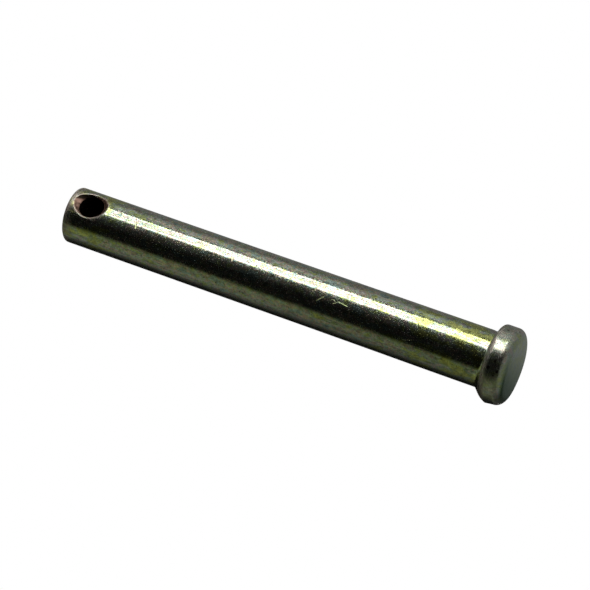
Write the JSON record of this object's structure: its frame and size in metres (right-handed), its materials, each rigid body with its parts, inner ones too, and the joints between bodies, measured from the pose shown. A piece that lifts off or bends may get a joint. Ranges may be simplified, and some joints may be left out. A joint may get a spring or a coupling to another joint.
{
  "type": "clevis pin",
  "caption": "Headed steel clevis pin: a plain round shank, a flat head with rounded edges and a countersunk cross hole for a cotter near the free end.",
  "frame": {"origin": "centre of the head's flat face, on which the pin stands", "axes": "+Z along the shank from the head to the free end, and the cross hole lies along Y"},
  "size_m": [0.0171, 0.017, 0.1069],
  "materials": {
    "chromated_zinc": "semi-bright yellow chromate over zinc, with green and pink cast and light handling marks"
  },
  "bodies": {
    "root": {"clevis_pin": "chromated_zinc"}
  },
  "joints": []
}
